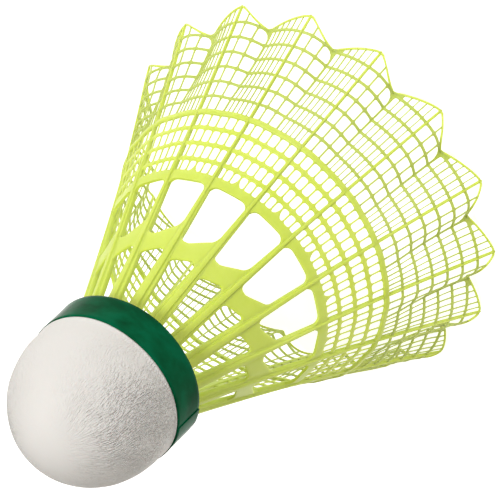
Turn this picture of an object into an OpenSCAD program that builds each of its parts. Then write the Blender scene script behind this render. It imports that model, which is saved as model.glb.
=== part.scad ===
// Synthetic badminton shuttlecock: a domed head with a tape band, and a moulded net skirt on sixteen ribs.
// Millimetres. +Z runs along the axis towards the head; the object stands on its sixteen rib tips at z = 0.

/* [Skirt] */
// Radius of the circle through the rib tips
tip_r = 33; // [31:0.5:34]
// Radius of the rib line where it meets the head
foot_r = 9.5; // [9:0.1:10]
// Height of the head's rear face above the rib tips
skirt_h = 54.7; // [52:0.5:58]
// How far the rib line bows in from straight at mid-height, which makes the skirt flare
flare = 0.8; // [0:0.1:1.2]
// Depth of each valley at the lowest hoop, below the flat facet between two ribs
valley_d = 1.75; // [1:0.05:2]
// Height of the rim edge at each valley, along the ribs
scallop_h = 2.7; // [2.2:0.05:2.75]

/* [Net] */
// Height of the lowest hoop on the ribs
first_hoop_z = 2.91; // [2.8:0.01:3]
// Height from hoop to hoop in the outer net
hoop_pitch = 2.56; // [2.5:0.01:2.58]
// Height of the thick hoop between the outer and the inner net
thick_hoop_z = 18.5; // [18.4:0.05:18.8]
// Height from hoop to hoop in the inner net
inner_pitch = 2.68; // [2.6:0.01:2.7]
// Height of an outer hoop's face
hoop_w = 0.44; // [0.36:0.02:0.6]
// Height of an inner hoop's face
inner_hoop_w = 0.72; // [0.6:0.02:0.8]
// Height of the thick hoop's face
thick_hoop_w = 0.92; // [0.84:0.02:1.2]
// Thickness of the net
net_t = 0.4; // [0.35:0.05:0.5]
// Width of a main strand
strand_w = 0.26; // [0.2:0.02:0.4]
// Width of the finest strands, on the densely meshed side of each valley
fine_strand_w = 0.16; // [0.14:0.02:0.26]
// Width of the strand that runs down each valley
valley_strand_w = 0.36; // [0.3:0.02:0.5]

/* [Webs] */
// Lower edge of the upper web ring
ring_low_z = 28.7; // [28.4:0.1:28.9]
// Upper edge of the upper web ring, which is the rim side of the upper windows
ring_high_z = 30.15; // [29.8:0.05:31]
// How far the cusp at mid-sector reaches below the ring
cusp_h = 1.1; // [0.6:0.1:1.2]
// Half-width of the cusp where it leaves the ring
cusp_w = 1.05; // [0.6:0.05:1.2]
// Radius of the upper windows' corners on the ring
ring_corner_r = 1.2; // [0.8:0.1:1.5]
// Rim-side edge of the lower web at its high end
web_low_z = 39.8; // [39:0.1:40]
// Drop of the rim-side edge across the sector
web_low_drop = 2.6; // [0:0.1:3]
// Head-side edge of the lower web at its high end
web_high_z = 43.1; // [42.8:0.1:43.5]
// Drop of the head-side edge across the sector
web_high_drop = 1.15; // [0:0.05:1.5]
// Radius of the window corners on the lower web
web_corner_r = 0.8; // [0.5:0.1:1]
// Thickness of both webs
web_t = 0.7; // [0.5:0.05:0.9]

/* [Head] */
// Radius of the leather-covered head
head_r = 13.05; // [12.5:0.05:14]
// Height at which the head's straight side turns into the dome
dome_z = 63; // [62:0.5:64]
// Height of the dome
dome_h = 14.3; // [13:0.1:15]
// Thickness of the leather cover
cover_t = 0.8; // [0.6:0.1:1]
// Width of the tape band
band_w = 6; // [5:0.1:7]
// Thickness of the tape
band_t = 0.2; // [0.15:0.05:0.3]
// Angle over which the tape's end laps over its start
lap_angle = 14; // [8:1:30]
// Direction of the lap about the axis
lap_at = 185; // [0:1:359]

/* [Skirt root] */
// Outer radius of the collar on the cork's rear face
collar_r = 10.8; // [10.6:0.1:11.2]
// Thickness of the collar
collar_t = 1; // [0.8:0.1:1.4]
// Outer radius of the plug inside the cork
plug_r = 6; // [5:0.1:6.5]
// Bore radius of the plug and the collar
plug_bore_r = 4.2; // [3:0.1:4.5]
// Length of the plug inside the cork
plug_len = 9; // [7:0.5:11]

/* [Hidden] */
$fn = 96;
ribs_n = 16;
sector = 360 / ribs_n;
beta = sector / 2;
// Angle between the rib line and the axis
rake = atan((tip_r - foot_r) / skirt_h);
thick_hoop_at = 7;
hoops_n = 10;
cells_half = 3;
// Distances from a rib's middle: to the edge of the net and the webs, and to the cells beside the rib
rib_lap = 0.2;
rib_side = 0.3;
// How far neighbouring plates of the outer net, and bars of the rim, reach into each other
plate_lap = 0.1;
// Shortest upright side of a cell on the rim, and the depth of the cutting shapes for the cells
least_side = 0.05;
hole_depth = 3;
cell_corner_r = 0.32;
arch_r = 1.4;
arch_steps = 3;
dome_steps = 30;
corner_steps = 6;
lap_inset = 0.05;
rim_bar_r = 0.2;
thick_hoop_t = 0.9;
// Height of hoop k, counted from the rim
function hoop_z(k) =
    k < thick_hoop_at
        ? first_hoop_z + (k - 1) * hoop_pitch
        : thick_hoop_z + (k - thick_hoop_at) * inner_pitch;

// Radius of the rib line at the height z
function rib_r(z) =
    let (s = z / skirt_h) tip_r - (tip_r - foot_r) * s - 4 * flare * s * (1 - s);

// Point on the flat facet between two ribs: f runs from -1 to 1
function facet_point(f, z) = [rib_r(z) * cos(beta), rib_r(z) * f * sin(beta), z];

// Half the distance between two rib lines at the height z, and where the net and the webs end beside a rib
function half_gap(z) = rib_r(z) * sin(beta);
function net_edge(z) = 1 - rib_lap / half_gap(z);

// Each half of a pleated sector folds from the flat facet along a line, from the rib's tip to the valley's end
// at the thick hoop. Beyond the fold it drops to the valley: f = 0 is the valley, f = 1 the rib at side * beta.
function beyond_fold(f, z) = 1 - f * half_gap(z) / half_gap(0) - z / thick_hoop_z;
function fold_f(z, shift) = (1 + shift / half_gap(0) - z / thick_hoop_z) * half_gap(0) / half_gap(z);
full_d = valley_d / (1 - first_hoop_z / thick_hoop_z);
function pleat_point(side, f, z) =
    facet_point(side * f, z) - full_d * beyond_fold(f, z) * [cos(rake), 0, sin(rake)];
function folded_point(side, f, z) =
    beyond_fold(f, z) > 0 ? pleat_point(side, f, z) : facet_point(side * f, z);

// A plane through three points: origin, two in-plane unit vectors and the normal
function unit(v) = v / norm(v);
function plane_of(a, b, c) =
    let (e1 = unit(b - a), n = unit(cross(e1, c - a))) [a, e1, cross(n, e1), n];
function flat(p, pl) = [(p - pl[0]) * pl[1], (p - pl[0]) * pl[2]];
function flatten(points, pl) = [for (p = points) flat(p, pl)];

// Corner of a polygon, rounded by steps points on an arc of about the radius r
function corner(a, b, c, r, steps) =
    let (u = unit(a - b), v = unit(c - b), d = min(r, norm(a - b) * 0.45, norm(c - b) * 0.45))
    [for (i = [0:steps]) let (t = i / steps) b + u * d * (1 - t) * (1 - t) + v * d * t * t];
function rounded(pts, r, steps) =
    let (n = len(pts))
    [for (i = [0:n - 1]) each corner(pts[(i + n - 1) % n], pts[i], pts[(i + 1) % n], r, steps)];

// Lays a flat shape of the thickness t on a plane, centred on it
module on_plane(pl, t)
    multmatrix([for (i = [0:2]) [pl[1][i], pl[2][i], pl[3][i], pl[0][i]]])
        translate([0, 0, -t / 2]) linear_extrude(t) children();

module each_sector() for (i = [0:ribs_n - 1]) rotate(sector * (i + 0.5)) children();

// A six-sided bar between two points, a little longer than their distance
module bar(a, b, r) {
    d = b - a;
    translate(a - unit(d) * plate_lap / 2)
        rotate([0, acos(d.z / norm(d)), atan2(d.y, d.x)])
            cylinder(h = norm(d) + plate_lap, r = r, $fn = 6);
}

// ---- Head ----

function dome_profile(inset) =
    [for (i = [0:dome_steps])
        let (a = 90 * i / dome_steps) [(head_r - inset) * cos(a), dome_z + (dome_h - inset) * sin(a)]];

module cork_core()
    color([0.78, 0.62, 0.42])
        difference() {
            rotate_extrude()
                polygon(concat([[0, skirt_h], [head_r - cover_t, skirt_h]], dome_profile(cover_t)));
            translate([0, 0, skirt_h - 1]) cylinder(h = plug_len + 1, r = plug_r);
        }

module leather_cover()
    color([0.89, 0.88, 0.86])
        rotate_extrude()
            difference() {
                polygon(concat([[0, skirt_h], [head_r, skirt_h]], dome_profile(0)));
                polygon(concat([[0, skirt_h - 1], [head_r - cover_t, skirt_h - 1]], dome_profile(cover_t)));
            }

module band_tape()
    color([0.0, 0.33, 0.2]) {
        rotate_extrude() translate([head_r, skirt_h]) square([band_t, band_w]);
        rotate(lap_at - lap_angle / 2)
            rotate_extrude(angle = lap_angle)
                translate([head_r + band_t / 2, skirt_h + lap_inset])
                    square([band_t * 1.5, band_w - 2 * lap_inset]);
    }

// ---- Skirt root ----

module skirt_plug()
    color([0.85, 0.93, 0.36])
        translate([0, 0, skirt_h])
            difference() {
                cylinder(h = plug_len, r = plug_r);
                translate([0, 0, -1]) cylinder(h = plug_len + 2, r = plug_bore_r);
            }

module skirt_collar()
    color([0.85, 0.93, 0.36])
        translate([0, 0, skirt_h - collar_t])
            difference() {
                cylinder(h = collar_t, r = collar_r);
                translate([0, 0, -1]) cylinder(h = collar_t + 2, r = plug_bore_r);
            }

// ---- Ribs ----

// Each row: height, base width, base thickness, ridge width, ridge height, sideways drift
rib_stations = [
    [0, 0.5, 0.5, 0.3, 0.35, 0],
    [hoop_z(4), 0.52, 0.5, 0.32, 0.4, 0],
    [thick_hoop_z, 0.56, 0.5, 0.34, 0.45, 0],
    [ring_low_z, 0.74, 0.6, 0.42, 0.45, 0],
    [35, 1.08, 0.7, 0.56, 0.5, 0.1],
    [web_low_z, 1.3, 0.8, 0.74, 0.52, 0.18],
    [web_high_z, 1.7, 0.8, 0.84, 0.55, 0.24],
    [46, 2.0, 0.85, 0.92, 0.6, 0.28],
    [skirt_h, 2.4, 0.9, 1.04, 0.6, 0.45]
];

// Level section of a rib: a wide base with a narrower ridge outside it
function rib_section(s) =
    let (z = s[0], w = s[1] / 2, b = s[2] / 2, v = s[3] / 2, top = b + s[4], r = rib_r(z))
    [for (p = [[-b, -w], [b, -w], [b, -v], [top, -v], [top, v], [b, v], [b, w], [-b, w]])
        [r + p[0] - (z == 0 ? b : 0), p[1] - s[5], z]];
rib_corners = 8;

module rib() {
    rows = len(rib_stations);
    points = [for (s = rib_stations) each rib_section(s)];
    sides = [for (i = [0:rows - 2], j = [0:rib_corners - 1])
        let (a = i * rib_corners + j, b = i * rib_corners + (j + 1) % rib_corners)
        each [[a, b + rib_corners, b], [a, a + rib_corners, b + rib_corners]]];
    // The two ends, cut into the base and the ridge
    foot = [[0, 1, 2], [0, 2, 5], [0, 5, 7], [5, 6, 7], [2, 3, 4], [2, 4, 5]];
    top = [for (t = foot) [for (k = [2, 1, 0]) t[k] + (rows - 1) * rib_corners]];
    polyhedron(points, concat(sides, foot, top));
}

module ribs()
    color([0.82, 0.91, 0.32]) for (i = [0:ribs_n - 1]) rotate(sector * i) rib();

// ---- Webs ----

web_plane = plane_of(facet_point(-1, web_low_z), facet_point(1, web_low_z), facet_point(0, web_high_z));
ring_plane = plane_of(facet_point(-1, ring_low_z), facet_point(1, ring_low_z), facet_point(0, ring_high_z));

// A web's rounded corner at a rib that is half_w wide on that side: pairs of f and how far the edge bends
function web_corner(z, half_w, r) =
    concat([[net_edge(z), r]],
           [for (i = [0:corner_steps])
               let (a = 90 * i / corner_steps)
               [1 - (half_w + r * (1 - cos(a))) / half_gap(z), r * (1 - sin(a))]]);
// Half-widths of the ribs at the ring and at the two edges of the lower web, and the ribs' drift there
ring_side = 0.45;
low_side = 0.65;
high_side = 0.85;
rib_drift = 0.2;
function turned_back(list) = [for (i = [len(list) - 1:-1:0]) list[i]];

// Both edges of the lower web fall towards the narrow cells' side; the falls begin at these values of f
low_fall_f = 0.3;
high_fall_f = 0.5;
function web_low(f) = web_low_z - web_low_drop * max(0, low_fall_f - f) / (low_fall_f + 1);
function web_high(f) = web_high_z - web_high_drop * min(1, max(0, high_fall_f - f));

module lower_web()
    color([0.86, 0.93, 0.46])
        each_sector()
            on_plane(web_plane, web_t) {
                low_right = web_corner(web_low_z, low_side + rib_drift, web_corner_r);
                low_left = web_corner(web_low_z, low_side - rib_drift, web_corner_r);
                high_right = web_corner(web_high_z, high_side + rib_drift, web_corner_r);
                high_left = web_corner(web_high_z, high_side - rib_drift, web_corner_r);
                outline = concat(
                    [for (c = low_left) [-c[0], web_low(-c[0]) - c[1]]],
                    [for (c = turned_back(low_right)) [c[0], web_low(c[0]) - c[1]]],
                    [for (c = high_right) [c[0], web_high(c[0]) + c[1]]],
                    [for (c = turned_back(high_left)) [-c[0], web_high(-c[0]) + c[1]]]);
                polygon([for (q = outline) flat(facet_point(q[0], q[1]), web_plane)]);
            }

module upper_web_ring()
    color([0.86, 0.93, 0.46])
        each_sector()
            on_plane(ring_plane, web_t) {
                edge = net_edge(ring_low_z);
                // Half of the cusp: a hollow curve from the ring's edge down to the middle strand
                cusp = [for (i = [0:corner_steps])
                    let (a = 90 * i / corner_steps, x = strand_w / 2 + cusp_w * (1 - sin(a)))
                    [x / half_gap(ring_low_z), ring_low_z - cusp_h * (1 - cos(a))]];
                corner = web_corner(ring_high_z, ring_side, ring_corner_r);
                outline = concat(
                    [[-edge, ring_low_z]],
                    [for (c = cusp) [-c[0], c[1]]],
                    turned_back(cusp),
                    [[edge, ring_low_z]],
                    [for (c = corner) [c[0], ring_high_z + c[1]]],
                    [for (c = turned_back(corner)) [-c[0], ring_high_z + c[1]]]);
                polygon([for (q = outline) flat(facet_point(q[0], q[1]), ring_plane)]);
            }

// ---- Net ----

// Inner net: a flat facet from the thick hoop to the ring, with rows of rounded cells
inner_plane =
    plane_of(facet_point(-1, thick_hoop_z), facet_point(1, thick_hoop_z), facet_point(0, ring_low_z));
inner_rows = [for (k = [thick_hoop_at:hoops_n]) hoop_z(k), ring_low_z + inner_hoop_w / 2];

// A band of the flat facet from z0 to z1
function inner_band(z0, z1) =
    let (edge = net_edge(z0))
    flatten([facet_point(-edge, z0), facet_point(edge, z0), facet_point(edge, z1), facet_point(-edge, z1)],
            inner_plane);

function inner_cell(i, k) =
    let (z0 = inner_rows[k] + inner_hoop_w / 2, z1 = inner_rows[k + 1] - inner_hoop_w / 2, n = 2 * cells_half,
         left = i == 0 ? rib_side : strand_w / 2, right = i == n - 1 ? rib_side : strand_w / 2,
         f0 = -1 + 2 * i / n + left / half_gap(z0), f1 = -1 + 2 * (i + 1) / n - right / half_gap(z0))
    rounded(flatten([facet_point(f0, z0), facet_point(f1, z0), facet_point(f1, z1), facet_point(f0, z1)],
                    inner_plane), cell_corner_r, 1);

module net_inner()
    color([0.84, 0.92, 0.42])
        each_sector()
            on_plane(inner_plane, net_t)
                difference() {
                    polygon(inner_band(thick_hoop_z, ring_low_z));
                    for (i = [0:2 * cells_half - 1], k = [0:len(inner_rows) - 2]) polygon(inner_cell(i, k));
                }

module thick_hoop()
    color([0.84, 0.92, 0.42])
        each_sector()
            on_plane(inner_plane, thick_hoop_t)
                polygon(inner_band(thick_hoop_z - thick_hoop_w / 2, thick_hoop_z + thick_hoop_w / 2));

// Outer net: a plate on the flat facet, and on each side of the valley a plate beyond the fold

facet_plane = plane_of(facet_point(-1, 0), facet_point(1, 0), facet_point(0, thick_hoop_z));
function pleat_plane(side) =
    plane_of(pleat_point(side, 0, 0), pleat_point(side, 1, 0), pleat_point(side, 0, thick_hoop_z));

// Height of the rim line at f, from the valley to the tip: arched on the wide cells' side, else straight
function rim_z(side, f) = rim_bar_r + scallop_h * (side > 0 ? sin(90 * pow(1 - f, 1.2)) : 1 - f);

// Where the fold starts on the rib, and where the plates end beside it
fold_low_z = 0.5;
fold_side_z = 1.2;

function facet_outline() =
    let (top = thick_hoop_z + plate_lap,
         right = [[fold_f(fold_low_z, -plate_lap), fold_low_z], [net_edge(fold_side_z), fold_side_z],
                  [net_edge(top), top]])
    concat([[0, thick_hoop_z * (1 - plate_lap / half_gap(0))]], right,
           [for (q = turned_back(right)) [-q[0], q[1]]]);

function pleat_outline(side) =
    let (valley = -plate_lap / half_gap(0), edge = net_edge(0), top = thick_hoop_z + plate_lap)
    concat([[valley, rim_z(side, 0)]],
           [for (i = [1:cells_half - 1]) [i / cells_half, rim_z(side, i / cells_half)]],
           [[edge, rim_z(side, edge)], [net_edge(fold_side_z), fold_side_z], [fold_f(top, plate_lap), top],
            [valley, top]]);

// Cell between the fractions f0 and f1 of a half-sector, w0 and w1 from its ends; row 0 ends on the rim edge
function outer_cell(side, f0, f1, w0, w1, k) =
    let (top = hoop_z(k + 1) - hoop_w / 2, low = k == 0 ? 0 : hoop_z(k) + hoop_w / 2,
         a = f0 + w0 / half_gap(low), b = f1 - w1 / half_gap(low),
         za = k == 0 ? min(top - least_side, rim_z(side, a) + rim_bar_r) : low,
         zb = k == 0 ? min(top - least_side, rim_z(side, b) + rim_bar_r) : low)
    [[a, za], [b, zb], [b, top], [a, top]];

// The holes of all cells of a half-sector, square to the middle plane of that half. The cell beside the valley
// on the rim stays closed as a gusset, and the wide one next to that gusset is arched.
module half_holes(side, cells) {
    wide = cells == cells_half;
    pl = plane_of(pleat_point(side, 0, first_hoop_z), facet_point(side, first_hoop_z),
                  facet_point(0, thick_hoop_z));
    on_plane(pl, hole_depth)
        for (k = [0:thick_hoop_at - 1], i = [k == 0 ? 1 : 0:cells - 1]) {
            w0 = i == 0 ? valley_strand_w / 2 : wide || i % 2 == 0 ? strand_w / 2 : fine_strand_w / 2;
            w1 = i == cells - 1 ? rib_side : wide || i % 2 == 1 ? strand_w / 2 : fine_strand_w / 2;
            cell = flatten([for (q = outer_cell(side, i / cells, (i + 1) / cells, w0, w1, k))
                folded_point(side, q[0], q[1])], pl);
            arch = corner(cell[3], cell[0], cell[1], arch_r, arch_steps);
            polygon(wide && i == 0 && k == 1 ? concat(arch, [cell[1], cell[2], cell[3]]) : cell);
        }
}

module outer_net_sector()
    difference() {
        union() {
            on_plane(facet_plane, net_t)
                polygon([for (q = facet_outline()) flat(facet_point(q[0], q[1]), facet_plane)]);
            for (side = [-1, 1]) {
                pl = pleat_plane(side);
                on_plane(pl, net_t)
                    polygon([for (q = pleat_outline(side)) flat(pleat_point(side, q[0], q[1]), pl)]);
            }
        }
        half_holes(1, cells_half);
        half_holes(-1, 2 * cells_half);
    }

module net_outer()
    color([0.84, 0.92, 0.42]) each_sector() outer_net_sector();

module rim_edge()
    color([0.84, 0.92, 0.42])
        each_sector() {
            edge = 1 - rib_side / half_gap(0);
            for (i = [0:cells_half - 1]) {
                f0 = i / cells_half;
                f1 = min(edge, (i + 1) / cells_half);
                bar(pleat_point(1, f0, rim_z(1, f0)), pleat_point(1, f1, rim_z(1, f1)), rim_bar_r);
            }
            bar(pleat_point(-1, 0, rim_z(-1, 0)), pleat_point(-1, edge, rim_z(-1, edge)), rim_bar_r);
        }

cork_core();
leather_cover();
band_tape();
skirt_plug();
skirt_collar();
ribs();
lower_web();
upper_web_ring();
net_inner();
thick_hoop();
net_outer();
rim_edge();
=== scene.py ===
import math

import bmesh
import bpy
import numpy as np
from mathutils import Matrix, Vector


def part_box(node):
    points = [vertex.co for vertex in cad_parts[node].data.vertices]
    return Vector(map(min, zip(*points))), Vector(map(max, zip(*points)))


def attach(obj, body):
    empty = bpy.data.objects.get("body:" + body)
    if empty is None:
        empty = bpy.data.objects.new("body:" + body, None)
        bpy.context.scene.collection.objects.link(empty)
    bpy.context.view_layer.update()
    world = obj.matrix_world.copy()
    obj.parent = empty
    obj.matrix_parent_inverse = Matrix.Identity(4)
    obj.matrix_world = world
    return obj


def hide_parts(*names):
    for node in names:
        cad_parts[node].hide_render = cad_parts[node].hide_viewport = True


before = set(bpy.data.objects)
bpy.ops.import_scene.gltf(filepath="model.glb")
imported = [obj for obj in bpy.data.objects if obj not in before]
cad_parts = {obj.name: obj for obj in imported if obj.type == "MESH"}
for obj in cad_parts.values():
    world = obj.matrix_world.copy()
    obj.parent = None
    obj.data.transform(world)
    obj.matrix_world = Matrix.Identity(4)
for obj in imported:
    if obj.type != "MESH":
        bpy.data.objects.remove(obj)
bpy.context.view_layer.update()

MM = 0.001

# ---------------------------------------------------------------- main sizes (mm)


def box_mm(node):
    """Lowest and highest corners of a node's box, in mm."""
    low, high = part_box(node)
    return [v / MM for v in low], [v / MM for v in high]


_, ribs_high = box_mm("ribs")
_, cover_high = box_mm("leather_cover")
band_low, band_high = box_mm("band_tape")
hoop_low, hoop_high = box_mm("thick_hoop")

# The skirt: 16 ribs on a cone that curves in a little between its tips and its foot.
RIBS = 16
HALF_ANGLE = math.pi / RIBS
SKIRT_H = ribs_high[2]
RIDGE_AT_TIP = 0.35
TIP_R = ribs_high[0] - RIDGE_AT_TIP
FOOT_R = 9.5
FLARE = 0.8

# Hoops are numbered from the rim. Number 7 is the thick one, and those of the inner net follow it.
THICK_HOOP = 7
FIRST_HOOP_Z, HOOP_PITCH = 2.91, 2.56
THICK_HOOP_Z = round((hoop_low[2] + hoop_high[2]) / 2, 2)
INNER_PITCH = 2.68

# The head: a straight side under the tape, then the dome.
HEAD_R, HEAD_TOP = cover_high[0], cover_high[2]
BAND_LOW, BAND_HIGH = band_low[2], band_high[2]
COVER_SIDE_H = 8.3
DOME_Z = BAND_LOW + COVER_SIDE_H


def hoop_z(k):
    """Height of hoop k."""
    if k < THICK_HOOP:
        return FIRST_HOOP_Z + (k - 1) * HOOP_PITCH
    return THICK_HOOP_Z + (k - THICK_HOOP) * INNER_PITCH


# ---------------------------------------------------------------- the skirt's surface
#
# A place on the skirt is (f, z). f is the azimuth in half-sectors: -1 and 1 are the ribs and 0 is mid-sector.
# z is the height along the rib line. Tables pair heights with values.

# The valley of each pleat: its azimuth, its drift near the rim, and its depth, which ends at the thick hoop.
VALLEY_F = 0.03
VALLEY_DRIFT = ([2.7, 3.6, 4.6, 5.5], [0.1, 0.05, 0.012, 0])
VALLEY_DEPTH = ([3, 5.5, 8, 10.6, 13.2, 15.8, 18.4], [2.37, 2.12, 1.83, 1.45, 0.93, 0.33, 0])
# The slopes beside it: how they bulge outwards, by height and side, and how steeply they start.
BULGE = ([17, 30, 50], [1.0, 0.5, 0.2])
WIDE_BULGE, NARROW_BULGE = 0.42, 0.22
WIDE_CURVE, NARROW_CURVE = 2.4, 1.3
# Steps for tangents, and how near a rib the normals start to turn into the cone's own.
F_STEP, Z_STEP = 0.006, 0.1
NORMAL_BLEND = 0.12


def rib_r(z):
    """Radius of the rib line."""
    s = z / SKIRT_H
    return TIP_R - (TIP_R - FOOT_R) * s - 4 * FLARE * s * (1 - s)


def rib_slope(z):
    """How much the rib line's radius changes in 1 mm of height."""
    return rib_r(z + 0.5) - rib_r(z - 0.5)


def half_width(z):
    """Distance from mid-sector to a rib, along the arc."""
    return rib_r(z) * HALF_ANGLE


def pleat(f, z):
    """Depth below the cone: a steep arched side from the valley to one rib, a flatter side to the other."""
    depth = np.interp(z, *VALLEY_DEPTH)
    bulge = np.interp(z, *BULGE)
    valley = VALLEY_F + np.interp(z, *VALLEY_DRIFT)

    def flank(share, curve, bulge_share):
        """Depth on one side, where share runs from 0 in the valley to 1 on the rib."""
        return depth * (1 - share) ** curve - bulge * bulge_share * share * np.sin(math.pi * share)

    wide = flank(np.clip((f - valley) / (1 - valley), 0, 1), WIDE_CURVE, WIDE_BULGE)
    narrow = flank(np.clip((valley - f) / (1 + valley), 0, 1), NARROW_CURVE, NARROW_BULGE)
    return np.where(f > valley, wide, narrow)


def place(f, z):
    """Point of the surface."""
    slope = rib_slope(z)
    length = np.hypot(1, slope)
    depth = pleat(f, z)
    r, height = rib_r(z) - depth / length, z + depth * slope / length
    return np.stack([r * np.cos(f * HALF_ANGLE), r * np.sin(f * HALF_ANGLE), height], -1)


def surface(f, z):
    """Points of the surface and their normals, which turn into the cone's own near a rib."""
    f, z = np.broadcast_arrays(np.asarray(f, float), np.asarray(z, float))
    inside = np.clip(f, -1 + F_STEP, 1 - F_STEP)
    across = place(inside + F_STEP, z) - place(inside - F_STEP, z)
    along = place(f, z + Z_STEP) - place(f, z - Z_STEP)
    normal = np.cross(across, along)
    normal /= np.linalg.norm(normal, axis=-1, keepdims=True)
    cone = np.stack([np.cos(f * HALF_ANGLE), np.sin(f * HALF_ANGLE), -rib_slope(z)], -1)
    cone /= np.linalg.norm(cone, axis=-1, keepdims=True)
    blend = np.clip((1 - np.abs(f)) / NORMAL_BLEND, 0, 1)[..., None]
    normal = normal * blend + cone * (1 - blend)
    normal /= np.linalg.norm(normal, axis=-1, keepdims=True)
    return place(f, z), normal


# ---------------------------------------------------------------- mesh helpers

WELD = 0.0015
SHARP_DEG, HEAD_SHARP_DEG = 48, 60


def turn_about_axis(angle):
    """Matrix that turns rows of points about the axis."""
    c, s = math.cos(angle), math.sin(angle)
    return np.array([[c, s, 0], [-s, c, 0], [0, 0, 1]])


class Builder:
    """Collects points in mm and faces; the object's equal points are welded."""

    def __init__(self):
        self.points, self.faces = [], []

    def add(self, pts):
        start = sum(len(p) for p in self.points)
        self.points.append(np.asarray(pts, float).reshape(-1, 3))
        return list(range(start, start + len(self.points[-1])))

    def face(self, *idx):
        self.faces.append(idx)

    def strip(self, a, b, closed=True):
        """Quads between two lines of the same length."""
        n = len(a)
        for i in range(n if closed else n - 1):
            j = (i + 1) % n
            self.face(a[i], a[j], b[j], b[i])

    def chain(self, lines, closed=True):
        """Quads between each line and the next."""
        for a, b in zip(lines, lines[1:]):
            self.strip(a, b, closed)

    def turn(self, angle):
        self.points = [p @ turn_about_axis(angle) for p in self.points]
        return self

    def make_object(self, name, material, sharp_deg=SHARP_DEG, copies=1):
        """The object, none of it below z = 0. Copies stand evenly round the axis, from half a step on."""
        pts = np.concatenate(self.points)
        pts[:, 2] = np.maximum(pts[:, 2], 0)
        faces = self.faces
        if copies > 1:
            step = 2 * math.pi / copies
            faces = [tuple(i + k * len(pts) for i in face) for k in range(copies) for face in faces]
            pts = np.concatenate([pts @ turn_about_axis((k + 0.5) * step) for k in range(copies)])
        mesh = bpy.data.meshes.new(name)
        mesh.from_pydata((pts * MM).tolist(), [], faces)
        bm = bmesh.new()
        bm.from_mesh(mesh)
        bmesh.ops.remove_doubles(bm, verts=bm.verts, dist=WELD * MM)
        bmesh.ops.dissolve_degenerate(bm, edges=bm.edges, dist=WELD * MM / 2)
        bmesh.ops.recalc_face_normals(bm, faces=bm.faces)
        limit = math.radians(sharp_deg)
        for face in bm.faces:
            face.smooth = True
        for edge in bm.edges:
            edge.smooth = len(edge.link_faces) == 2 and edge.calc_face_angle(0) < limit
        bm.to_mesh(mesh)
        bm.free()
        mesh.validate()
        obj = bpy.data.objects.new(name, mesh)
        bpy.context.scene.collection.objects.link(obj)
        mesh.materials.append(material)
        return obj


# ---------------------------------------------------------------- materials


class Nodes:
    """Small helper for building a node tree, in object coordinates."""

    def __init__(self, name):
        self.mat = bpy.data.materials.new(name)
        self.mat.use_nodes = True
        self.tree = self.mat.node_tree
        self.shader = self.tree.nodes["Principled BSDF"]
        self.coord = self.new("ShaderNodeTexCoord").outputs["Object"]

    def new(self, kind, **props):
        node = self.tree.nodes.new(kind)
        for k, v in props.items():
            setattr(node, k, v)
        return node

    def put(self, socket, value):
        if isinstance(value, bpy.types.NodeSocket):
            self.tree.links.new(value, socket)
        else:
            socket.default_value = value

    def set(self, **sockets):
        """Sets or links the shader's sockets."""
        for k, v in sockets.items():
            self.put(self.shader.inputs[k.replace("_", " ")], v)

    def stretched(self, scale):
        m = self.new("ShaderNodeMapping")
        self.put(m.inputs["Vector"], self.coord)
        m.inputs["Scale"].default_value = scale
        return m.outputs[0]

    def noise(self, scale, detail, rough, vector=None):
        n = self.new("ShaderNodeTexNoise")
        self.put(n.inputs["Vector"], vector or self.coord)
        n.inputs["Scale"].default_value = scale
        n.inputs["Detail"].default_value = detail
        n.inputs["Roughness"].default_value = rough
        return n.outputs["Fac"]

    def voronoi(self, scale, feature, output):
        n = self.new("ShaderNodeTexVoronoi", feature=feature)
        self.put(n.inputs["Vector"], self.coord)
        n.inputs["Scale"].default_value = scale
        return n.outputs[output]

    def ramp(self, value, *stops):
        """Colour ramp; a stop is (position, grey) or (position, colour)."""
        r = self.new("ShaderNodeValToRGB")
        self.put(r.inputs[0], value)
        els = r.color_ramp.elements
        while len(els) > 1:
            els.remove(els[-1])
        for i, (pos, col) in enumerate(stops):
            e = els[0] if i == 0 else els.new(pos)
            e.position = pos
            e.color = (*col, 1) if not isinstance(col, (int, float)) else (col, col, col, 1)
        return r.outputs[0]

    def math(self, op, a, b=0.0):
        m = self.new("ShaderNodeMath", operation=op)
        self.put(m.inputs[0], a)
        self.put(m.inputs[1], b)
        return m.outputs[0]

    def add(self, a, b):
        return self.math("ADD", a, b)

    def times(self, a, b):
        return self.math("MULTIPLY", a, b)

    def combined(self, x, y, z):
        v = self.new("ShaderNodeCombineXYZ")
        for socket, value in zip(v.inputs, (x, y, z)):
            self.put(socket, value)
        return v.outputs[0]

    def mix(self, fac, a, b):
        """Colour a where fac is 0, and b where it is 1."""
        m = self.new("ShaderNodeMix", data_type="RGBA")
        self.put(m.inputs[0], fac)
        for socket, value in ((m.inputs[6], a), (m.inputs[7], b)):
            self.put(socket, value if isinstance(value, bpy.types.NodeSocket) else (*value, 1))
        return m.outputs[2]

    def bump(self, height, strength, distance):
        b = self.new("ShaderNodeBump")
        self.put(b.inputs["Height"], height)
        b.inputs["Strength"].default_value = strength
        b.inputs["Distance"].default_value = distance
        return b.outputs[0]


def nylon(name, light, deep, roughness):
    """Translucent nylon, faintly cloudy and softly glossy."""
    n = Nodes(name)
    cloud = n.noise(90, 3, 0.5)
    fine = n.noise(900, 3, 0.6)
    n.set(Base_Color=n.ramp(n.add(n.times(cloud, 0.75), n.times(fine, 0.25)), (0.3, deep), (0.7, light)))
    n.set(Roughness=n.add(n.times(fine, 0.14), roughness - 0.07))
    n.set(Normal=n.bump(n.add(fine, n.times(cloud, 2.0)), 0.14, 0.00006))
    n.set(Subsurface_Weight=0.35, Subsurface_Scale=0.0012, IOR=1.5, Specular_IOR_Level=0.35)
    n.shader.inputs["Subsurface Radius"].default_value = (1.0, 0.9, 0.2)
    return n.mat


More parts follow.
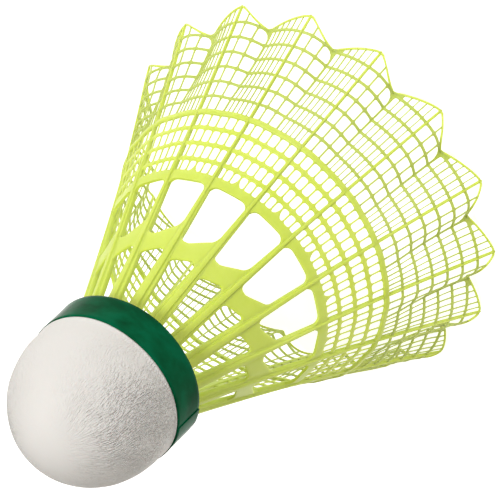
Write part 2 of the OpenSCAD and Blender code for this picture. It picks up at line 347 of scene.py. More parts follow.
def leather():
    """Off-white leather. Its wrinkles run up the dome a little askew, deep on two sides and faint between."""
    n = Nodes("cover_leather")
    split = n.new("ShaderNodeSeparateXYZ")
    n.put(split.inputs[0], n.coord)
    x, y, z = split.outputs
    radius = n.math("SQRT", n.add(n.times(x, x), n.add(n.times(y, y), 1e-7)))
    # Coordinates wound round the axis near the head's own radius, and squeezed along the wrinkles.
    wound_r, squeeze, lead = 0.0125, 0.36, 13.0
    wound = n.combined(
        n.times(n.math("DIVIDE", x, radius), wound_r),
        n.times(n.math("DIVIDE", y, radius), wound_r),
        n.times(z, squeeze),
    )
    sway = n.times(n.math("SUBTRACT", n.noise(160, 1, 0.5), 0.5), 0.22)
    turn = n.new("ShaderNodeVectorRotate", rotation_type="Z_AXIS")
    n.put(turn.inputs["Vector"], wound)
    n.put(turn.inputs["Angle"], n.add(n.times(z, lead), sway))
    ridge = n.ramp(n.noise(3700, 2, 0.5, turn.outputs[0]), (0.3, 0.0), (0.5, 0.6), (0.7, 1.0))
    pores = n.noise(6500, 1, 0.5, turn.outputs[0])
    # Deep where the hide was pulled sideways, on two opposite sides, and deeper with height.
    side = n.math("ABSOLUTE", n.add(n.times(x, -58.0), n.times(y, -45.3)))
    reach = n.add(side, n.times(n.math("SUBTRACT", z, 0.063), 21.0))
    patchy = n.times(n.math("SUBTRACT", n.noise(150, 2, 0.5), 0.5), 0.35)
    depth = n.ramp(n.add(reach, patchy), (0.25, 0.04), (0.5, 0.14), (0.72, 0.26), (0.88, 0.62), (1.0, 1.0))
    # The wrinkles die out at the crown.
    depth = n.times(depth, n.ramp(n.times(radius, 100.0), (0.25, 0.0), (0.8, 1.0)))
    wrinkles = n.times(n.add(n.times(ridge, 0.75), n.times(pores, 0.35)), depth)
    grain = n.noise(3600, 3, 0.6)
    base = n.ramp(n.noise(55, 3, 0.5), (0.3, (0.60, 0.585, 0.56)), (0.7, (0.64, 0.625, 0.605)))
    # The wrinkles' hollows are darkened towards a warm brown, more where the wrinkles are deep: painted shade
    # in the creases.
    painted_crease_shade = n.times(n.ramp(ridge, (0.0, 0.22), (0.5, 0.0)), depth)
    n.set(Base_Color=n.mix(painted_crease_shade, base, (0.44, 0.39, 0.33)))
    n.set(Roughness=n.add(n.times(grain, 0.2), 0.48))
    n.set(Normal=n.bump(n.add(wrinkles, n.times(grain, 0.02)), 1.0, 0.0005))
    n.set(Subsurface_Weight=0.03, Subsurface_Scale=0.0005, Specular_IOR_Level=0.3)
    return n.mat


def tape():
    """Dark green tape: glossy, with blotches where it does not lie flat; their lighter and darker colour is
    painted highlight and painted shade.
    """
    n = Nodes("band_green_tape")
    blot_and_painted_light = n.noise(210, 3, 0.55, n.stretched((1, 1, 1.6)))
    fine = n.noise(1500, 3, 0.6)
    dark, green, light = (0.0, 0.052, 0.018), (0.0, 0.074, 0.028), (0.0, 0.094, 0.039)
    # The colour follows the blotches: the lighter patches are painted highlight and the darker ones painted
    # shade, while the same blotches also bump the surface.
    n.set(Base_Color=n.ramp(blot_and_painted_light, (0.34, dark), (0.5, green), (0.64, light)))
    n.set(Roughness=n.add(n.times(blot_and_painted_light, 0.16), 0.14))
    n.set(Normal=n.bump(n.add(blot_and_painted_light, n.times(fine, 0.06)), 0.35, 0.0002))
    n.set(IOR=1.08, Specular_IOR_Level=0.5)
    return n.mat


def cork():
    """Pressed cork granules with darker joints."""
    n = Nodes("core_cork")
    granule = n.new("ShaderNodeSeparateColor")
    n.put(granule.inputs[0], n.voronoi(750, "F1", "Color"))
    edge = n.voronoi(750, "DISTANCE_TO_EDGE", "Distance")
    dark, brown, pale = (0.30, 0.17, 0.08), (0.55, 0.36, 0.19), (0.66, 0.47, 0.27)
    color = n.ramp(granule.outputs[0], (0.0, dark), (0.5, brown), (1.0, pale))
    n.set(Base_Color=n.mix(n.ramp(edge, (0.0, 0.7), (0.08, 0.0)), color, (0.13, 0.07, 0.035)))
    n.set(Roughness=0.85)
    n.set(Normal=n.bump(n.add(edge, n.noise(1800, 4, 0.6)), 0.5, 0.0002))
    return n.mat


def floor_material():
    """Pale table that glows around the object: painted light that washes out the object's shadow on it."""
    n = Nodes("studio_floor")
    n.set(Base_Color=n.ramp(n.noise(4, 2, 0.5), (0.3, 0.70), (0.7, 0.72)))
    n.set(Roughness=0.9, Specular_IOR_Level=0.0)
    # The glow is painted light: full strength within 0.12 m of the middle, fading to 0.1 by 0.3 m.
    length = n.new("ShaderNodeVectorMath", operation="LENGTH")
    n.put(length.inputs[0], n.coord)
    n.set(Emission_Color=(1.0, 0.985, 0.96, 1.0))
    n.set(Emission_Strength=n.ramp(length.outputs["Value"], (0.0, 0.76), (0.12, 0.76), (0.3, 0.1)))
    return n.mat


NYLON = nylon("skirt_nylon", (0.575, 0.675, 0.125), (0.51, 0.62, 0.07), 0.42)
# The outer net's nylon is the skirt's nylon made darker and greyer: painted shade for the shaded side walls of
# its thin strands.
SHADED_NET_NYLON = nylon("skirt_nylon_net_painted_shade", (0.455, 0.54, 0.135), (0.38, 0.47, 0.08), 0.46)
LEATHER = leather()
TAPE = tape()
CORK = cork()

# ---------------------------------------------------------------- one cell of the net

# Points on each side of a cell or a hole; a corner is the first of its side's.
SIDE_STEPS = 4
AROUND = 4 * SIDE_STEPS
# A hole's corners: how far the middle point is pulled out, and the share of a side that one may take.
CORNER_PULL = 0.42
ROUND_SHARE, ELLIPSE_SHARE = 0.48, 0.9
SMALLEST_HOLE = 0.03
# The rounded lip round a hole: its place between hole and outline, and its heights as shares of the outline's.
LIP_AT = 0.34
LIP_OUT, LIP_OUT_RISE, LIP_IN = 0.72, 0.015, 0.84
# The hole's own edge lies at this share of the sum of both heights.
WALL_HEIGHT = 0.32


def cell_boundary(f0, f1, low, high):
    """The cell's outline on the middle lines of its strands and hoops: sixteen points from the lower left."""
    share = np.arange(SIDE_STEPS) / SIDE_STEPS
    below = [(f, low(f)) for f in f0 + (f1 - f0) * share]
    right = [(f1, z) for z in low(f1) + (high(f1) - low(f1)) * share]
    above = [(f, high(f)) for f in f1 + (f0 - f1) * share]
    left = [(f0, z) for z in high(f0) + (low(f0) - high(f0)) * share]
    return np.array(below + right + above + left)


def towards(start, end, distance):
    """The point at that distance from start."""
    gap = end - start
    return start + gap / max(np.linalg.norm(gap), 1e-9) * distance


def round_corner(corner, before, after, radius, starts_across):
    """Start, middle and end of a hole's rounded corner. An elliptical radius is (across, along)."""
    ellipse = isinstance(radius, tuple)
    across, along = radius if ellipse else (radius, radius)
    share = ELLIPSE_SHARE if ellipse else ROUND_SHARE
    first, second = (across, along) if starts_across else (along, across)
    start = towards(corner, before, min(first, np.linalg.norm(before - corner) * share))
    end = towards(corner, after, min(second, np.linalg.norm(after - corner) * share))
    middle = (start + end) / 2 * (1 - CORNER_PULL) + corner * CORNER_PULL
    return start, middle, end


def hole_outline(f0, f1, low, high, insets, radii):
    """The hole's outline: sixteen points that pair with those of cell_boundary.

    insets are the half-widths of what lies left, right, below and above; radii go round from the lower left.
    """
    left, right, below, above = insets
    width = half_width((low(f0) + high(f0)) / 2)
    a, b = f0 + left / width, f1 - right / width
    top_a, top_b = high(a) - above, high(b) - above
    bottom_a = min(low(a) + below, top_a - SMALLEST_HOLE)
    bottom_b = min(low(b) + below, top_b - SMALLEST_HOLE)
    scale = np.array([width, 1.0])
    corners = np.array([(a, bottom_a), (b, bottom_b), (b, top_b), (a, top_a)]) * scale
    rounded = [
        round_corner(corners[i], corners[i - 1], corners[(i + 1) % 4], radii[i], i % 2 == 1) for i in range(4)
    ]
    pts = []
    for i in range(4):
        _, middle, end = rounded[i]
        next_start = rounded[(i + 1) % 4][0]
        pts += [middle, end, (end + next_start) / 2, next_start]
    for i in range(4):
        if isinstance(radii[i], tuple):
            # A large elliptical corner takes one more point on either side.
            start, _, end = rounded[i]
            for k in range(5):
                angle = math.pi / 8 * k
                from_start, from_end = 1 - math.sin(angle), 1 - math.cos(angle)
                curve = corners[i] + (start - corners[i]) * from_start + (end - corners[i]) * from_end
                pts[(SIDE_STEPS * i - 2 + k) % AROUND] = curve
    return np.array(pts) / scale


class Sheet(Builder):
    """A perforated sheet that follows the skirt's surface, with raised hoops outside and strands inside."""

    def lay(self, places, height):
        places = np.asarray(places)
        p, n = surface(places[:, 0], places[:, 1])
        return self.add(p + n * np.asarray(height, float)[:, None])

    def cell(self, f0, f1, low, high, insets, radii, heights):
        """A cell with its hole, or a closed one where insets is None.

        heights holds the outer ones of the hoops (below, above) and of the strands (left, right), then the
        inner ones of hoops and strands.
        """
        hoop_out, strand_out, hoop_in, strand_in = heights
        bound = cell_boundary(f0, f1, low, high)
        point = np.arange(AROUND)
        on_hoop = point // SIDE_STEPS % 2 == 0
        corner = point % SIDE_STEPS == 0
        beside = point % 2 == 1
        hoop = np.array([hoop_out[0]] * 6 + [hoop_out[1]] * 7 + [hoop_out[0]] * 3)
        strand = np.repeat([0, strand_out[1], 0, strand_out[0]], SIDE_STEPS)
        out_h = np.where(on_hoop | corner, hoop, strand)
        out_h = np.where(~on_hoop & beside, strand * 0.75 + hoop * 0.25, out_h)
        in_h = np.where(on_hoop & ~corner, hoop_in, strand_in)
        ring_out = self.lay(bound, out_h)
        ring_in = self.lay(bound, in_h)
        if insets is None:
            centre = bound.mean(axis=0, keepdims=True)
            centre_out = self.lay(centre, [out_h.mean()])[0]
            centre_in = self.lay(centre, [in_h.mean()])[0]
            for i in range(AROUND):
                j = (i + 1) % AROUND
                self.face(ring_out[i], ring_out[j], centre_out)
                self.face(ring_in[j], ring_in[i], centre_in)
            return
        hole = hole_outline(f0, f1, low, high, insets, radii)
        lip = hole + (bound - hole) * LIP_AT
        lip_out = self.lay(lip, out_h * LIP_OUT + LIP_OUT_RISE)
        lip_in = self.lay(lip, in_h * LIP_IN)
        wall = self.lay(hole, (out_h + in_h) * WALL_HEIGHT)
        self.chain([ring_out, lip_out, wall, lip_in, ring_in])

    def border(self, line, out_h, columns, in_hoop, in_strand):
        """Closes the sheet along a line over the whole sector, at the points where its cells put theirs."""
        fs, corners = set(), set()
        for side, cells in zip((1, -1), columns):
            at = strand_places(side, cells)
            corners |= {round(v, 9) for v in at}
            for a, b in zip(at, at[1:]):
                fs |= {round(a + (b - a) * t / SIDE_STEPS, 9) for t in range(SIDE_STEPS + 1)}
        fs = sorted(fs)
        places = [(f, line(f)) for f in fs]
        top = self.lay(places, [out_h] * len(fs))
        bottom = self.lay(places, [in_strand if f in corners else in_hoop for f in fs])
        self.strip(top, bottom, closed=False)


# ---------------------------------------------------------------- both nets

# Half-widths of the strands and hoops. Each valley has wide cells on one side and narrow ones on the other.
STRAND, FINE, MEDIUM, VALLEY = 0.135, 0.085, 0.112, 0.16
HOOP, INNER_HOOP, THICK = 0.238, 0.36, 0.46
RIB_EDGE, INNER_RIB_EDGE = 0.17, 0.3
RIM_HALF, RING_EDGE = 0.16, 0.05
WIDE_CELLS, NARROW_CELLS, INNER_CELLS = 3, 6, 3
# Heights of their outer and inner faces over the surface.
HOOP_OUT, THICK_OUT, RIM_OUT = 0.14, 0.2, 0.12
STRAND_OUT, FINE_OUT, EDGE_OUT = 0.05, 0.02, 0.1
HOOP_IN, STRAND_IN, RING_IN = -0.17, -0.14, -0.28
# Corners of the holes; an elliptical one is (across, along).
WIDE_CORNER, NARROW_CORNER, INNER_CORNER = 0.22, 0.14, 0.32
ARCH_CORNER, ARCH_END = (1.25, 1.75), 0.3
CUSP_CORNER = (0.95, 1.4)
# The rim line is highest beside the valley, and bows down a little on the narrow side.
RIM_TOP_F, RIM_TOP_Z = 0.13, 2.72
RIM_CURVE, RIM_BOW = 1.2, 0.1


def strand_places(side, cells):
    """Azimuths of the strands from the valley to the rib on that side."""
    return [VALLEY_F + (side - VALLEY_F) * i / cells for i in range(cells + 1)]


def outer_strand(cells, i):
    """Half-width and outer height of strand i: 0 is the valley, the last is the rib."""
    if i == 0:
        return VALLEY, EDGE_OUT
    if i == cells:
        return RIB_EDGE, EDGE_OUT
    if cells == WIDE_CELLS:
        return STRAND, STRAND_OUT
    return (FINE, FINE_OUT) if i % 2 else (MEDIUM, STRAND_OUT)


def inner_strand(cells, i):
    """The same for the inner net, which has no valley."""
    return (INNER_RIB_EDGE, EDGE_OUT) if i == cells else (STRAND, STRAND_OUT)


def cell_columns(side, cells, strand):
    """Each cell from the valley to the rib: its number, azimuths, strand half-widths and strand heights."""
    at = strand_places(side, cells)
    for i in range(cells):
        edges = [(at[k], *strand(cells, k)) for k in (i, i + 1)]
        (f0, w0, h0), (f1, w1, h1) = edges if side > 0 else edges[::-1]
        yield i, f0, f1, (w0, w1), (h0, h1)


def const(z):
    """A level line, as a function of the azimuth."""
    return lambda f: z


def rim_z(f):
    """Height of the rim line: lowest at the tips, highest just beside the valley."""
    if f > RIM_TOP_F:
        return RIM_TOP_Z * math.sin(math.pi / 2 * ((1 - f) / (1 - RIM_TOP_F)) ** RIM_CURVE)
    t = (RIM_TOP_F - f) / (1 + RIM_TOP_F)
    return RIM_TOP_Z * (1 - t) - RIM_BOW * math.sin(math.pi * t)


def outer_radii(row, column, side, cells):
    """Corners of a hole of the outer net. The wide cell beside the gusset is arched at its rim end."""
    if row == 0:
        return [NARROW_CORNER] * 4
    r = WIDE_CORNER if cells == WIDE_CELLS else NARROW_CORNER
    if row == 1 and column == 0:
        return [ARCH_CORNER if side > 0 else r, ARCH_END, r, r]
    return [r] * 4


def build_outer_net():
    """One sector from the rim to the thick hoop."""
    sheet = Sheet()
    lines = [rim_z] + [const(hoop_z(k)) for k in range(1, THICK_HOOP + 1)]
    last = len(lines) - 2
    for side, cells in ((1, WIDE_CELLS), (-1, NARROW_CELLS)):
        for i, f0, f1, halves, strand_out in cell_columns(side, cells, outer_strand):
            for k in range(last + 1):
                below, above = (RIM_HALF if k == 0 else HOOP), (THICK if k == last else HOOP)
                # The valley ends at the rim in a solid gusset.
                gusset = k == 0 and i == 0
                insets = None if gusset else (*halves, below, above)
                hoop_out = (RIM_OUT if k == 0 else HOOP_OUT, THICK_OUT if k == last else HOOP_OUT)
                heights = (hoop_out, strand_out, HOOP_IN, STRAND_IN)
                sheet.cell(f0, f1, lines[k], lines[k + 1], insets, outer_radii(k, i, side, cells), heights)
    columns = (WIDE_CELLS, NARROW_CELLS)
    sheet.border(rim_z, RIM_OUT, columns, HOOP_IN, STRAND_IN)
    sheet.border(const(hoop_z(THICK_HOOP)), THICK_OUT, columns, HOOP_IN, STRAND_IN)
    return sheet


# ---------------------------------------------------------------- the ribs' outline, the ring and the web

RING_LOW_Z, RING_HIGH_Z = 28.7, 30.15
WEB_LOW_Z, WEB_LOW_FALL, WEB_LOW_F, WEB_LOW_CURVE = 39.8, 1.95, 0.3, 1.15
WEB_HIGH_Z, WEB_HIGH_RISE, WEB_HIGH_F = 41.95, 1.15, -0.45
# Corners of the windows: height, height where the rib's width is taken, radius across and radius along.
RING_CORNER = (31, 31, 1.25, 1.1)
WEB_LOW_CORNER, WEB_LOW_FAR_CORNER = (39, 39, 0.75, 0.8), (39, 39, 0.6, 1.0)
WEB_HIGH_CORNER = (43, 44, 0.6, 0.7)
WEB_OUT, WEB_IN = 0.22, -0.3
# The web stops inside the ribs. Its edges are thinner over this much and end in a nose.
WEB_REACH = 0.97
WEB_TAPER, WEB_THINNER, WEB_NOSE = 0.3, 0.3, 0.08
# By height: half-width of a rib's base, and how far its middle line drifts sideways.
RIB_HALF = (
    [0, 5, 18, 27, 31, 35, 39, 42, 45, 50, 54.7],
    [0.2, 0.21, 0.26, 0.34, 0.46, 0.54, 0.62, 0.8, 0.95, 1.1, 1.2],
)
RIB_DRIFT = ([28, 45, 54.7], [0, 0.27, 0.45])


def rib_side(z, f):
    """Width in mm that the rib takes of the half-sector that f is in."""
    drift = np.interp(z, *RIB_DRIFT)
    return np.interp(z, *RIB_HALF) + (drift if f > 0 else -drift)


def fillet(f, z, rib_z, radius_x, radius_z):
    """How far an edge at height z bends along the rib's side in a window's corner."""
    width = half_width(z)
    start = width - rib_side(rib_z, f) - radius_x
    t = min(max((abs(f) * width - start) / radius_x, 0.0), 1.0)
    return radius_z * (1 - math.sqrt(max(1 - t * t, 0.0)))


def ring_upper(f):
    """Head-side edge of the ring."""
    return RING_HIGH_Z + fillet(f, *RING_CORNER)


def web_low(f):
    """Rim-side edge of the lower web: it slants, flat on one half and falling towards the other's rib."""
    z = WEB_LOW_Z - WEB_LOW_FALL * max(0.0, WEB_LOW_F - f) ** WEB_LOW_CURVE
    return z - fillet(f, *(WEB_LOW_CORNER if f > 0 else WEB_LOW_FAR_CORNER))


def web_high(f):
    """Head-side edge of the lower web, slanted the same way."""
    z = WEB_HIGH_Z + WEB_HIGH_RISE * min(max(f - WEB_HIGH_F, 0), 1.0)
    return z + fillet(f, *WEB_HIGH_CORNER)


def build_inner_net():
    """One sector from the thick hoop to the windows: four rows of cells, then the solid ring."""
    sheet = Sheet()
    lines = [const(hoop_z(k)) for k in range(THICK_HOOP, THICK_HOOP + 4)] + [const(RING_LOW_Z), ring_upper]
    ring = len(lines) - 2
    for side in (1, -1):
        for i, f0, f1, halves, strand_out in cell_columns(side, INNER_CELLS, inner_strand):
            for k in range(ring):
                last = k == ring - 1
                below, above = (THICK if k == 0 else INNER_HOOP), (RING_EDGE if last else INNER_HOOP)
                radii = [INNER_CORNER] * 4
                if last and i == 0:
                    # The cusp at mid-sector: both cells beside it have a large rounded corner.
                    radii[3 if side > 0 else 2] = CUSP_CORNER
                hoop_out = (THICK_OUT if k == 0 else HOOP_OUT, THICK_OUT if last else HOOP_OUT)
                heights = (hoop_out, strand_out, HOOP_IN, STRAND_IN)
                sheet.cell(f0, f1, lines[k], lines[k + 1], (*halves, below, above), radii, heights)
            flat = (THICK_OUT, THICK_OUT)
            sheet.cell(f0, f1, lines[ring], ring_upper, None, None, (flat, flat, RING_IN, RING_IN))
    columns = (INNER_CELLS, INNER_CELLS)
    sheet.border(const(hoop_z(THICK_HOOP)), THICK_OUT, columns, HOOP_IN, STRAND_IN)
    sheet.border(ring_upper, THICK_OUT, columns, RING_IN, RING_IN)
    # The step between the net's inner face and the ring's thicker inner face.
    for side in (1, -1):
        at = strand_places(side, INNER_CELLS)
        for a, b in zip(at, at[1:]):
            places = [(a + (b - a) * t / SIDE_STEPS, RING_LOW_Z) for t in range(SIDE_STEPS + 1)]
            thin = sheet.lay(places, [STRAND_IN] + [HOOP_IN] * (SIDE_STEPS - 1) + [STRAND_IN])
            thick = sheet.lay(places, [RING_IN] * len(places))
            sheet.strip(thin, thick, closed=False)
    return sheet


def build_lower_web():
    """One sector of the solid web between two ribs, with rounded edges."""
    b = Builder()
    rows, columns = 12, 64
    fs = np.linspace(-WEB_REACH, WEB_REACH, columns + 1)

    def face_rows(height):
        """Points of the outer or inner face, row by row."""
        grid = []
        for r in range(rows + 1):
            t = r / rows
            row = []
            for f in fs:
                z0, z1 = web_low(f), web_high(f)
                edge = min(t, 1 - t) * (z1 - z0)
                thinner = WEB_THINNER * max(0, 1 - edge / WEB_TAPER) ** 2
                p, n = surface(f, z0 + (z1 - z0) * t)
                row.append(p + n * height * (1 - thinner))
            grid.append(b.add(np.array(row)))
        return grid

    outer, inner = face_rows(WEB_OUT), face_rows(WEB_IN)
    for r in range(rows):
        b.strip(outer[r], outer[r + 1], closed=False)
        b.strip(inner[r + 1], inner[r], closed=False)
    for r, edge, sign in ((0, web_low, -1), (rows, web_high, 1)):
        nose = []
        for f in fs:
            p, n = surface(f, edge(f) + sign * WEB_NOSE)
            nose.append(p + n * (WEB_OUT + WEB_IN) / 2)
        nose = b.add(np.array(nose))
        b.chain([outer[r], nose, inner[r]], closed=False)
        for end in (0, columns):
            b.face(outer[r][end], nose[end], inner[r][end])
    for end in (0, columns):
        for r in range(rows):
            b.face(outer[r][end], outer[r + 1][end], inner[r + 1][end], inner[r][end])
    return b


# ---------------------------------------------------------------- ribs

# By height: the ridge's half-width, and the heights of the shoulder, the ridge and the inner face.
RIDGE_HALF = ([0, 18, 28, 36, 43, SKIRT_H], [0.12, 0.15, 0.2, 0.28, 0.42, 0.52])
SHOULDER_OUT = ([0, 18, 28, 40, SKIRT_H], [0.12, 0.16, 0.24, 0.3, 0.34])
RIDGE_OUT = ([0, 2, 18, 28, 40, SKIRT_H], [0.2, 0.28, 0.34, 0.5, 0.68, 0.8])
RIB_IN = ([0, 18, 28, 40, SKIRT_H], [-0.2, -0.26, -0.4, -0.5, -0.5])
# The tip is a little narrower. Its end is level, and the cross-section tilts with the surface from there on.
TIP_Z, TIP_NARROWER, TIP_LOWER = 0.3, 0.86, 0.9
TIP_LEVEL, TIP_TILT = 0.15, 3


def rib_section(z):
    """Cross-section of a rib as (sideways, out): broad base, sloped sides and a flat raised ridge."""
    base, ridge = np.interp(z, *RIB_HALF), np.interp(z, *RIDGE_HALF)
    shoulder, top = np.interp(z, *SHOULDER_OUT), np.interp(z, *RIDGE_OUT)
    inner = np.interp(z, *RIB_IN)
    bevel = min(0.08, base * 0.3)
    if z < TIP_Z:
        base, ridge, top = base * TIP_NARROWER, ridge * TIP_NARROWER, top * TIP_LOWER
    foot = ridge + (base - ridge) * 0.25
    right = [
        (base - bevel, inner),
        (base, inner + bevel),
        (base, shoulder - bevel),
        (base - bevel, shoulder),
        (foot, shoulder + 0.02),
        (ridge + 0.02, shoulder + (top - shoulder) * 0.55),
        (ridge, top - 0.05),
        (ridge * 0.8, top),
    ]
    left = [(-y, h) for y, h in reversed(right)]
    return left[-1:] + right + left[:-1]


def build_rib():
    """The rib at the edge of a sector, built on +X: thin in the net and wide near the head."""
    b = Builder()
    loops = []
    for z in np.concatenate([[0.0, 0.1], np.linspace(0.4, SKIRT_H - 0.01, 72)]):
        r, slope = rib_r(z), rib_slope(z)
        length = math.hypot(1, slope)
        drift = np.interp(z, *RIB_DRIFT)
        tilt = min(max((z - TIP_LEVEL) / TIP_TILT, 0), 1)
        loop = [(r + h / length, y - drift, z - slope / length * h * tilt) for y, h in rib_section(z)]
        loops.append(b.add(loop))
    b.chain(loops)
    b.face(*loops[0])
    b.face(*loops[-1])
    return b.turn(-HALF_ANGLE)


# ---------------------------------------------------------------- swept hoop and rim


def sweep_sector(line, section, fs):
    """A bar along a line of the sector; section has its (along the skirt, out) offsets in mm."""
    b = Builder()
    loops = []
    for f in fs:
        z = line(f)
        p, n = surface(f, z)
        along = place(f, z + 2 * Z_STEP) - place(f, z - 2 * Z_STEP)
        along = along / np.linalg.norm(along)
        loops.append(b.add([p + along * u + n * h for u, h in section]))
    b.chain(loops)
    return b


def rounded_section(half, low, high, bevel=0.1):
    """A bar's cross-section with bevelled corners."""
    return [
        (-half + bevel, low),
        (half - bevel, low),
        (half, low + bevel),
        (half, high - bevel),
        (half - bevel, high),
        (-half + bevel, high),
        (-half, high - bevel),
        (-half, low + bevel),
    ]


def build_thick_hoop():
    """The thick hoop, a little wider and thicker than the nets' edges inside it."""
    section = rounded_section(THICK + 0.01, -0.24, 0.27)
    return sweep_sector(const(THICK_HOOP_Z), section, np.linspace(-1, 1, 41))


def build_rim():
    """The rim's round edge, which stays clear of the floor at the rib tips."""
    half, thick, sides = 0.2, 0.18, 10
    raised, lowest = 0.06, 0.24
    ring = np.linspace(0, 2 * math.pi, sides, endpoint=False)
    section = [(half * math.cos(a), thick * math.sin(a) - 0.01) for a in ring]
    fs = np.concatenate([np.linspace(-1, VALLEY_F, 28)[:-1], np.linspace(VALLEY_F, 1, 30)])
    return sweep_sector(lambda f: max(rim_z(f) + raised, lowest), section, fs)


# ---------------------------------------------------------------- head

COVER_T = 0.8
# The leather swells a little beside the tape's edge.
SWELL, SWELL_WIDTH = 0.13, 0.28
# The tape is one turn and a lap, whose end lifts over its start.
LAP_AT, LAP_BEFORE, LAP_EXTRA = math.radians(185), math.radians(7), math.radians(15)
LAP_RISE_FROM, LAP_RISE_OVER, LAP_LIFT = math.radians(4), math.radians(6), 0.17
TAPE_OUT = 0.19


def build_cover():
    """Leather over the cork: straight side under the tape, then the dome, with its lower edge turned in."""
    b = Builder()
    around, side_rows, dome_rows = 288, 52, 110
    angle = np.linspace(0, 2 * math.pi, around, endpoint=False)
    bottom = BAND_LOW + 0.02
    profile = [(HEAD_R - 0.02, bottom + t * COVER_SIDE_H) for t in np.linspace(0, 1, side_rows)]
    for a in np.linspace(0, math.pi / 2, dome_rows)[1:-1]:
        profile.append((HEAD_R * math.cos(a), DOME_Z + (HEAD_TOP - DOME_Z) * math.sin(a)))
    inner = [((HEAD_R - COVER_T) * math.cos(a), (HEAD_R - COVER_T) * math.sin(a)) for a in angle]
    rows = [b.add([(x, y, bottom) for x, y in inner])]
    for r, z in profile:
        wave = 0 * angle
        if z > BAND_HIGH:
            wave = 0.012 * np.sin(3 * angle + z) + 0.010 * np.sin(7 * angle - 1.7 * z)
        swell = SWELL * math.exp(-((z - BAND_HIGH - SWELL_WIDTH) / SWELL_WIDTH) ** 2)
        wavy = r - 0.03 + swell + wave * min(1, r / 6)
        rows.append(b.add(np.stack([wavy * np.cos(angle), wavy * np.sin(angle), np.full(around, z)], -1)))
    b.chain(rows)
    top = b.add([(0, 0, HEAD_TOP - 0.01)])[0]
    for i in range(around):
        b.face(rows[-1][i], rows[-1][(i + 1) % around], top)
    # The turned-in edge ends against the cork.
    b.strip(b.add([(x, y, BAND_LOW + 3.0) for x, y in inner]), rows[0])
    return b


def build_tape():
    """The tape: a flat strip wound once round the head, its end lapped over its start."""
    b = Builder()
    steps = 420
    out = min(TAPE_OUT, band_high[0] - HEAD_R - 0.02)
    loops = []
    for i in range(steps + 1):
        wound = i / steps * (2 * math.pi + LAP_EXTRA)
        a = LAP_AT - LAP_BEFORE + wound
        lift = LAP_LIFT * min(max(0.0, (wound - (2 * math.pi - LAP_RISE_FROM)) / LAP_RISE_OVER), 1.0)
        wave = 0.016 * math.sin(9 * a + 1) + 0.012 * math.sin(23 * a)
        low_edge = BAND_LOW + 0.03 + 0.035 * math.sin(5 * a)
        high_edge = BAND_HIGH - 0.05 + 0.05 * math.sin(4 * a + 2)
        r0, r1 = HEAD_R - 0.02 + lift, HEAD_R + out + lift * 0.95
        section = [(r0, low_edge), (r1 - 0.05, low_edge), (r1, low_edge + 0.06)]
        for s in np.linspace(0.1, 0.9, 9):
            section.append((r1 + wave * math.sin(math.pi * s) - 0.01, low_edge + (high_edge - low_edge) * s))
        section += [(r1, high_edge - 0.06), (r1 - 0.05, high_edge), (r0, high_edge)]
        loops.append(b.add([(r * math.cos(a), r * math.sin(a), z) for r, z in section]))
    b.chain(loops)
    b.face(*loops[0])
    b.face(*loops[-1])
    return b


# ---------------------------------------------------------------- put the pieces in place

outer_net = build_outer_net().make_object("net_outer_panels", SHADED_NET_NYLON, copies=RIBS)
inner_net = build_inner_net().make_object("net_inner_and_ring", NYLON, copies=RIBS)
lower_web_piece = build_lower_web().make_object("web_lower_panels", NYLON, copies=RIBS)
rib_piece = build_rib().make_object("rib_set", NYLON, copies=RIBS)
hoop_piece = build_thick_hoop().make_object("hoop_thick", NYLON, copies=RIBS)
rim_piece = build_rim().make_object("rim_scalloped", NYLON, copies=RIBS)
cover_piece = build_cover().make_object("cover_dome", LEATHER, sharp_deg=HEAD_SHARP_DEG)
tape_piece = build_tape().make_object("tape_band", TAPE, sharp_deg=HEAD_SHARP_DEG)

for piece, nodes, slot in (
    (outer_net, ("net_outer",), "nylon"),
    (inner_net, ("net_inner", "upper_web_ring"), "nylon"),
    (lower_web_piece, ("lower_web",), "nylon"),
    (rib_piece, ("ribs",), "nylon"),
    (hoop_piece, ("thick_hoop",), "nylon"),
    (rim_piece, ("rim_edge",), "nylon"),
    (cover_piece, ("leather_cover",), "leather"),
    (tape_piece, ("band_tape",), "tape"),
):
    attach(piece, "root")
    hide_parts(*nodes)

for node, material in (("cork_core", CORK), ("skirt_plug", NYLON), ("skirt_collar", NYLON)):
    for slot_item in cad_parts[node].material_slots:
        slot_item.material = material

# ---------------------------------------------------------------- floor, camera and light


def build_floor():
    """A level sheet of quads, nearly two metres across."""
    b = Builder()
    half, cells = 900, 24
    xs = np.linspace(-half, half, cells + 1)
    b.chain([b.add([(x, y, 0) for x in xs]) for y in xs], closed=False)
    return b


floor = build_floor().make_object("studio_floor", floor_material())

# Camera: from above the head's side, rolled so that the head lies at the lower left.
AZIMUTH, ELEVATION, ROLL = math.radians(-103.776), math.radians(42.801), math.radians(133.995)
DISTANCE, LENS, SENSOR = 0.86467, 399.38, 36
TARGET = Vector((0.00021, -0.00005, 0.01875))
level_part = math.cos(ELEVATION)
back = Vector((math.cos(AZIMUTH) * level_part, math.sin(AZIMUTH) * level_part, math.sin(ELEVATION)))
level_right = Vector((0, 0, 1)).cross(back).normalized()
level_up = back.cross(level_right)
right = level_right * math.cos(ROLL) - level_up * math.sin(ROLL)
up = level_right * math.sin(ROLL) + level_up * math.cos(ROLL)
camera_data = bpy.data.cameras.new("camera")
camera_data.lens, camera_data.sensor_width = LENS, SENSOR
camera_data.clip_start, camera_data.clip_end = 0.01, 20
camera = bpy.data.objects.new("camera", camera_data)
axes = Matrix((right, up, back)).transposed()
camera.matrix_world = Matrix.Translation(TARGET + back * DISTANCE) @ axes.to_4x4()
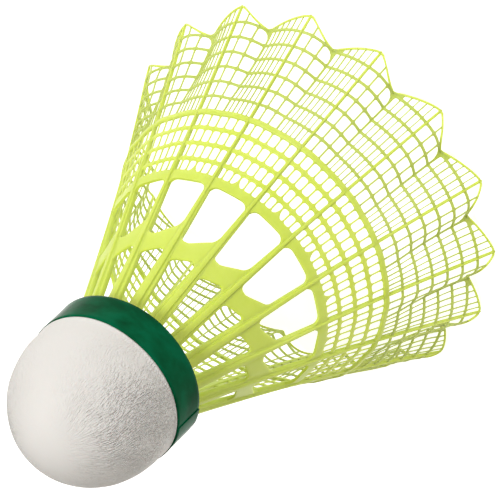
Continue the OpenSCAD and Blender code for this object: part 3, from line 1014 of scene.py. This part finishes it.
bpy.context.scene.collection.objects.link(camera)
bpy.context.scene.camera = camera

LIGHT_FROM = (back * 0.80 - up * 0.06 - right * 0.58).normalized()
KEY_DISTANCE, KEY_SIZE, KEY_POWER, KEY_COLOR = 0.9, 0.4, 6.6, (1.0, 1.01, 1.03)
ROOM_COLOR = (1.0, 0.94, 0.85, 1)
ROOM_LEVEL, ROOM_SLOPE, ROOM_DARKEST = 0.34, 0.26, 0.05


def build_room():
    """A soft white room, brighter on the side of the key light."""
    world = bpy.data.worlds.new("studio")
    bpy.context.scene.world = world
    world.use_nodes = True
    tree = world.node_tree
    coord = tree.nodes.new("ShaderNodeTexCoord")
    dot = tree.nodes.new("ShaderNodeVectorMath")
    dot.operation = "DOT_PRODUCT"
    tree.links.new(coord.outputs["Generated"], dot.inputs[0])
    dot.inputs[1].default_value = LIGHT_FROM
    sloped = tree.nodes.new("ShaderNodeMath")
    sloped.operation = "MULTIPLY_ADD"
    tree.links.new(dot.outputs["Value"], sloped.inputs[0])
    sloped.inputs[1].default_value = ROOM_SLOPE
    sloped.inputs[2].default_value = ROOM_LEVEL
    strength = tree.nodes.new("ShaderNodeMath")
    strength.operation = "MAXIMUM"
    tree.links.new(sloped.outputs[0], strength.inputs[0])
    strength.inputs[1].default_value = ROOM_DARKEST
    background = tree.nodes["Background"]
    background.inputs["Color"].default_value = ROOM_COLOR
    tree.links.new(strength.outputs[0], background.inputs["Strength"])


def build_key_light():
    """A large round soft light, aimed at the middle of the skirt."""
    data = bpy.data.lights.new("key", "AREA")
    data.shape, data.size, data.energy, data.color = "DISK", KEY_SIZE, KEY_POWER, KEY_COLOR
    light = bpy.data.objects.new("key", data)
    target = Vector((0, 0, 0.04))
    light.location = target + LIGHT_FROM * KEY_DISTANCE
    light.rotation_mode = "QUATERNION"
    light.rotation_quaternion = (target - light.location).to_track_quat("-Z", "Y")
    bpy.context.scene.collection.objects.link(light)


build_room()
build_key_light()
bpy.context.scene.view_settings.view_transform = "Standard"
